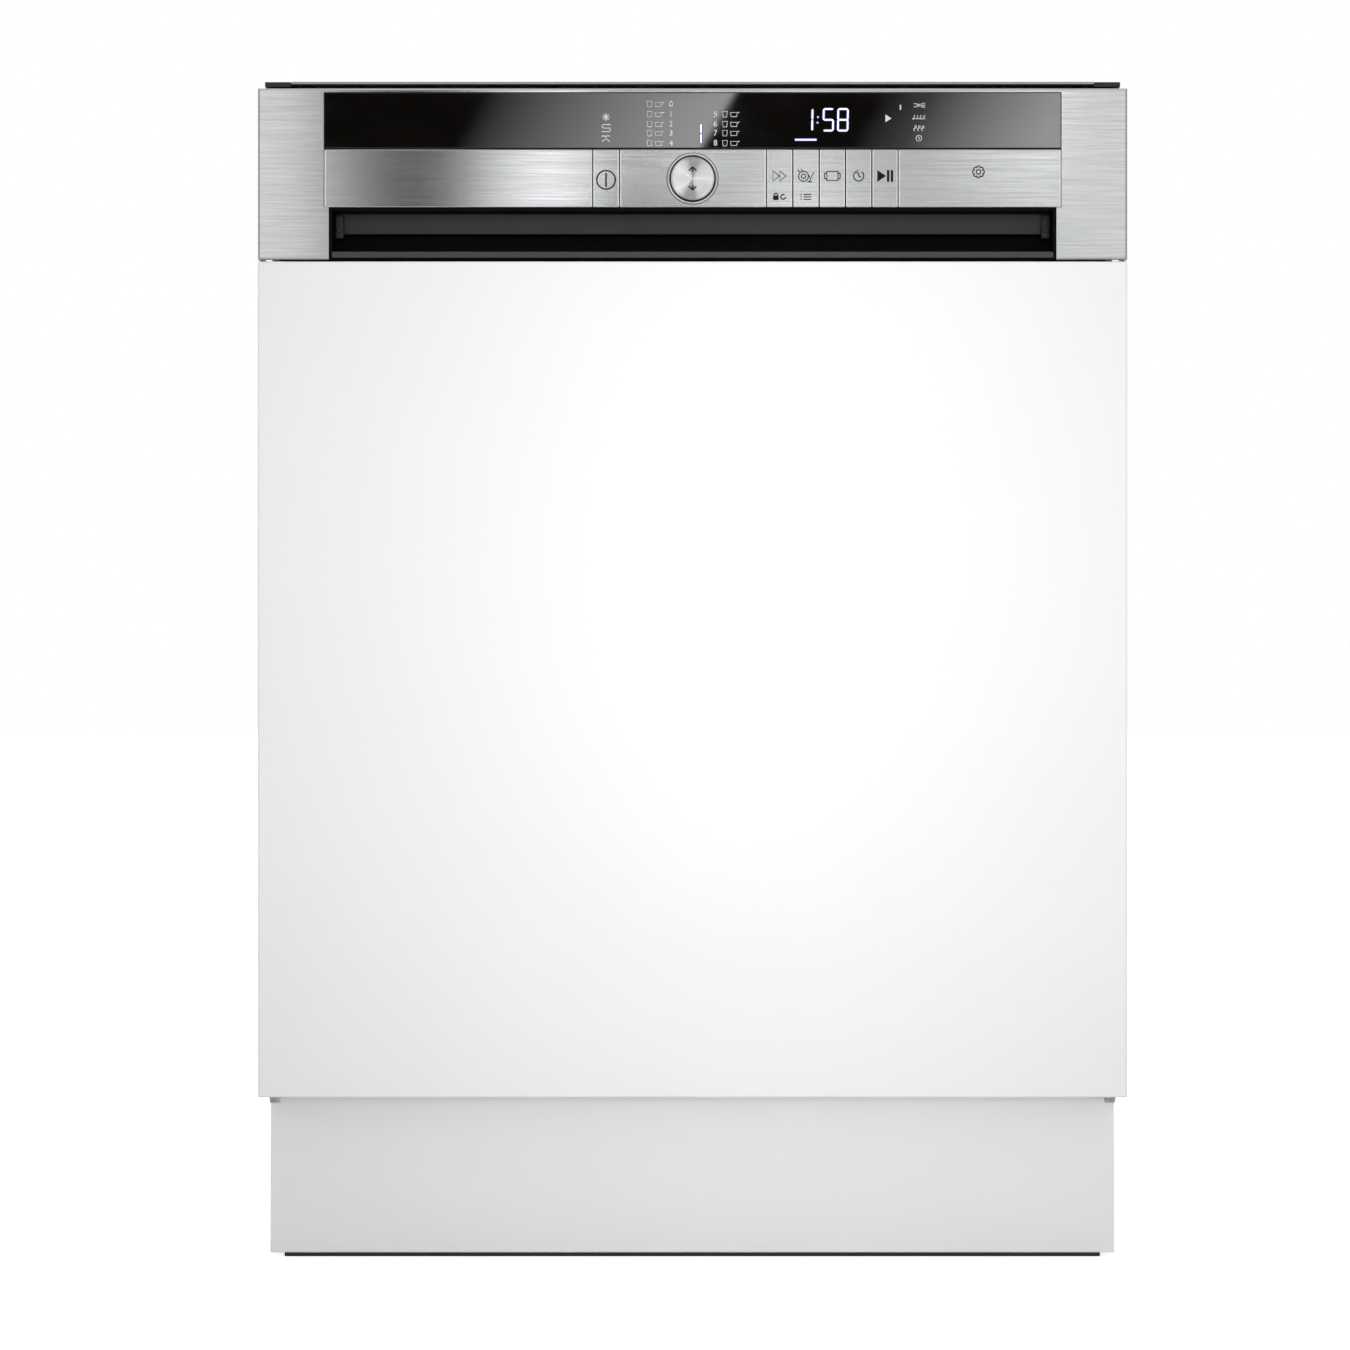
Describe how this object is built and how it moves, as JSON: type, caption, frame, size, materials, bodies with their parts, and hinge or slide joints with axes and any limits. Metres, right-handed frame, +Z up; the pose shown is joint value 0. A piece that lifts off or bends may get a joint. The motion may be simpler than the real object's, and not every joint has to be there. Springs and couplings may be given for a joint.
{
  "type": "built in dishwasher",
  "caption": "Built-in dishwasher with a white furniture door, a brushed steel console with grip recess, steel tub, two racks and spray arms.",
  "frame": {"origin": "on the floor under the middle of the machine", "axes": "+Z up, +Y towards the wall behind, the door faces -Y, +X to the right seen from the front"},
  "size_m": [0.598, 0.575, 0.815],
  "materials": {
    "base_tray": "moulded polypropylene",
    "tub": "bright stainless sheet",
    "side_panels": "galvanised sheet",
    "rear_panel": "galvanised sheet",
    "top_cover": "galvanised sheet",
    "casing_screws": "zinc plated",
    "worktop_trim": "satin",
    "worktop_brackets": "black",
    "plinth": "white lacquered board",
    "foot_front_left": "moulded nylon",
    "foot_front_right": "moulded nylon",
    "foot_rear": "moulded nylon",
    "door_seals": "extruded rubber",
    "hinge_brackets": "zinc plated steel",
    "hinge_arms": "zinc plated steel",
    "door_springs": "spring steel",
    "sump": "moulded polypropylene",
    "coarse_filter": "perforated steel",
    "cylinder_filter": "moulded polypropylene with mesh",
    "water_softener": "moulded polypropylene",
    "salt_cap": "moulded polypropylene",
    "circulation_pump": "moulded polypropylene",
    "pump_rotor": "moulded polypropylene",
    "water_inlet_valve": "moulded nylon",
    "drain_spigot": "moulded polypropylene",
    "power_inlet": "moulded nylon",
    "feed_pipe": "moulded polypropylene",
    "lower_spray_arm": "moulded polypropylene",
    "upper_spray_arm": "moulded polypropylene",
    "front_wheels": "moulded nylon",
    "rear_wheels": "moulded nylon",
    "lower_rack": "nylon coated wire",
    "fold_tines": "nylon coated wire",
    "upper_rack": "nylon coated wire",
    "rack_feed_pipe": "moulded polypropylene",
    "cup_shelf": "nylon coated wire",
    "rack_rails": "stainless channel",
    "rail_slides": "stainless member",
    "cutlery_basket": "moulded polypropylene",
    "furniture_panel": "white lacquered board",
    "outer_door_panel": "galvanised sheet",
    "inner_door_panel": "bright stainless sheet",
    "console_fascia": "horizontally brushed",
    "control_strips": "horizontally brushed",
    "program_rocker": "spun face",
    "display_glass": "black backed gloss",
    "control_module": "moulded case",
    "console_housing": "moulded plastic",
    "handle_recess": "moulded plastic",
    "latch_catch": "moulded acetal",
    "door_strike": "pressed steel",
    "dispenser_housing": "moulded polypropylene",
    "detergent_lid": "moulded polypropylene",
    "rinse_aid_cap": "moulded polypropylene",
    "power_key": "horizontally brushed",
    "tablet_key": "horizontally brushed",
    "load_key": "horizontally brushed",
    "tray_key": "horizontally brushed",
    "delay_key": "horizontally brushed",
    "start_key": "horizontally brushed"
  },
  "bodies": {
    "root": {"base_tray": "base_tray", "tub": "tub", "side_panels": "side_panels", "rear_panel": "rear_panel", "top_cover": "top_cover", "casing_screws": "casing_screws", "worktop_trim": "worktop_trim", "worktop_brackets": "worktop_brackets", "plinth": "plinth", "door_seals": "door_seals", "hinge_brackets": "hinge_brackets", "door_springs": "door_springs", "sump": "sump", "coarse_filter": "coarse_filter", "water_softener": "water_softener", "circulation_pump": "circulation_pump", "water_inlet_valve": "water_inlet_valve", "drain_spigot": "drain_spigot", "power_inlet": "power_inlet", "feed_pipe": "feed_pipe", "rack_rails": "rack_rails", "door_strike": "door_strike"},
    "door": {"furniture_panel": "furniture_panel", "outer_door_panel": "outer_door_panel", "inner_door_panel": "inner_door_panel", "console_fascia": "console_fascia", "control_strips": "control_strips", "display_glass": "display_glass", "control_module": "control_module", "console_housing": "console_housing", "handle_recess": "handle_recess", "dispenser_housing": "dispenser_housing", "hinge_arms": "hinge_arms"},
    "upper_rack": {"upper_rack": "upper_rack", "rack_feed_pipe": "rack_feed_pipe"},
    "program_rocker": {"program_rocker": "program_rocker"},
    "latch_catch": {"latch_catch": "latch_catch"},
    "detergent_lid": {"detergent_lid": "detergent_lid"},
    "rinse_aid_cap": {"rinse_aid_cap": "rinse_aid_cap"},
    "cup_shelf": {"cup_shelf": "cup_shelf"},
    "rail_slides": {"rail_slides": "rail_slides"},
    "upper_spray_arm": {"upper_spray_arm": "upper_spray_arm"},
    "lower_rack": {"lower_rack": "lower_rack"},
    "front_wheels": {"front_wheels": "front_wheels"},
    "rear_wheels": {"rear_wheels": "rear_wheels"},
    "fold_tines": {"fold_tines": "fold_tines"},
    "cutlery_basket": {"cutlery_basket": "cutlery_basket"},
    "lower_spray_arm": {"lower_spray_arm": "lower_spray_arm"},
    "salt_cap": {"salt_cap": "salt_cap"},
    "cylinder_filter": {"cylinder_filter": "cylinder_filter"},
    "pump_rotor": {"pump_rotor": "pump_rotor"},
    "foot_front_left": {"foot_front_left": "foot_front_left"},
    "foot_front_right": {"foot_front_right": "foot_front_right"},
    "foot_rear": {"foot_rear": "foot_rear"},
    "power_key": {"power_key": "power_key"},
    "tablet_key": {"tablet_key": "tablet_key"},
    "load_key": {"load_key": "load_key"},
    "tray_key": {"tray_key": "tray_key"},
    "delay_key": {"delay_key": "delay_key"},
    "start_key": {"start_key": "start_key"}
  },
  "joints": [
    {"name": "door_hinge", "type": "hinge", "parent": "root", "child": "door", "pos_m": [0, -0.247, 0.121], "axis": [1, 0, 0], "range_deg": [0, 90], "stiffness_Nm_per_rad": 22},
    {"name": "upper_rack_slide", "type": "slide", "parent": "root", "child": "upper_rack", "axis": [0, -1, 0], "range_m": [0, 0.4]},
    {"name": "rail_slide", "type": "slide", "parent": "root", "child": "rail_slides", "axis": [0, -1, 0], "range_m": [0, 0.2]},
    {"name": "lower_rack_slide", "type": "slide", "parent": "root", "child": "lower_rack", "axis": [0, -1, 0], "range_m": [0, 0.45]},
    {"name": "front_wheel_roll", "type": "hinge", "parent": "lower_rack", "child": "front_wheels", "pos_m": [0, -0.12, 0.1683], "axis": [1, 0, 0], "continuous": true},
    {"name": "rear_wheel_roll", "type": "hinge", "parent": "lower_rack", "child": "rear_wheels", "pos_m": [0, 0.15, 0.1683], "axis": [1, 0, 0], "continuous": true},
    {"name": "program_rock", "type": "hinge", "parent": "door", "child": "program_rocker", "pos_m": [0, -0.276, 0.7476], "axis": [1, 0, 0], "range_deg": [-4, 4], "stiffness_Nm_per_rad": 0.6},
    {"name": "latch_lift", "type": "slide", "parent": "door", "child": "latch_catch", "axis": [0, 0, 1], "range_m": [0, 0.004], "stiffness_N_per_m": 500, "springref_m": -0.002},
    {"name": "detergent_lid_slide", "type": "slide", "parent": "door", "child": "detergent_lid", "axis": [0, 0, -1], "range_m": [0, 0.046]},
    {"name": "rinse_cap_flip", "type": "hinge", "parent": "door", "child": "rinse_aid_cap", "pos_m": [0.054, -0.2205, 0.389], "axis": [-1, 0, 0], "range_deg": [0, 85]},
    {"name": "cup_shelf_fold", "type": "hinge", "parent": "upper_rack", "child": "cup_shelf", "pos_m": [-0.24165, 0, 0.54675], "axis": [0, -1, 0], "range_deg": [0, 80]},
    {"name": "upper_spray_turn", "type": "hinge", "parent": "upper_rack", "child": "upper_spray_arm", "pos_m": [0, 0.009, 0.444], "axis": [0, 0, 1], "continuous": true},
    {"name": "tine_fold", "type": "hinge", "parent": "lower_rack", "child": "fold_tines", "pos_m": [0, -0.05825, 0.21425], "axis": [-1, 0, 0], "range_deg": [0, 85]},
    {"name": "basket_lift", "type": "slide", "parent": "lower_rack", "child": "cutlery_basket", "axis": [0, 0, 1], "range_m": [0, 0.09]},
    {"name": "lower_spray_turn", "type": "hinge", "parent": "root", "child": "lower_spray_arm", "pos_m": [0, 0.009, 0.176], "axis": [0, 0, 1], "continuous": true},
    {"name": "salt_cap_turn", "type": "hinge", "parent": "root", "child": "salt_cap", "pos_m": [-0.17, 0.07, 0.15], "axis": [0, 0, 1], "range_deg": [0, 120]},
    {"name": "filter_turn", "type": "hinge", "parent": "root", "child": "cylinder_filter", "pos_m": [0.1, 0.07, 0.15], "axis": [0, 0, 1], "range_deg": [0, 45]},
    {"name": "pump_turn", "type": "hinge", "parent": "root", "child": "pump_rotor", "pos_m": [-0.05, 0.15, 0.084], "axis": [0, 1, 0], "continuous": true},
    {"name": "foot_front_left_screw", "type": "slide", "parent": "root", "child": "foot_front_left", "axis": [0, 0, 1], "range_m": [-0.05, 0]},
    {"name": "foot_front_right_screw", "type": "slide", "parent": "root", "child": "foot_front_right", "axis": [0, 0, 1], "range_m": [-0.05, 0]},
    {"name": "foot_rear_screw", "type": "slide", "parent": "root", "child": "foot_rear", "axis": [0, 0, 1], "range_m": [-0.05, 0]},
    {"name": "power_press", "type": "slide", "parent": "door", "child": "power_key", "axis": [0, 1, 0], "range_m": [0, 0.001], "stiffness_N_per_m": 2000, "springref_m": -0.0005},
    {"name": "tablet_press", "type": "slide", "parent": "door", "child": "tablet_key", "axis": [0, 1, 0], "range_m": [0, 0.001], "stiffness_N_per_m": 2000, "springref_m": -0.0005},
    {"name": "load_press", "type": "slide", "parent": "door", "child": "load_key", "axis": [0, 1, 0], "range_m": [0, 0.001], "stiffness_N_per_m": 2000, "springref_m": -0.0005},
    {"name": "tray_press", "type": "slide", "parent": "door", "child": "tray_key", "axis": [0, 1, 0], "range_m": [0, 0.001], "stiffness_N_per_m": 2000, "springref_m": -0.0005},
    {"name": "delay_press", "type": "slide", "parent": "door", "child": "delay_key", "axis": [0, 1, 0], "range_m": [0, 0.001], "stiffness_N_per_m": 2000, "springref_m": -0.0005},
    {"name": "start_press", "type": "slide", "parent": "door", "child": "start_key", "axis": [0, 1, 0], "range_m": [0, 0.001], "stiffness_N_per_m": 2000, "springref_m": -0.0005}
  ],
  "couplings": [
    {"joint": "upper_rack_slide", "follows": "door_hinge", "m_per_rad": 0.2546},
    {"joint": "rail_slide", "follows": "door_hinge", "m_per_rad": 0.1273},
    {"joint": "lower_rack_slide", "follows": "door_hinge", "m_per_rad": 0.11},
    {"joint": "front_wheel_roll", "follows": "door_hinge", "ratio": 6.1111},
    {"joint": "rear_wheel_roll", "follows": "door_hinge", "ratio": 6.1111}
  ]
}
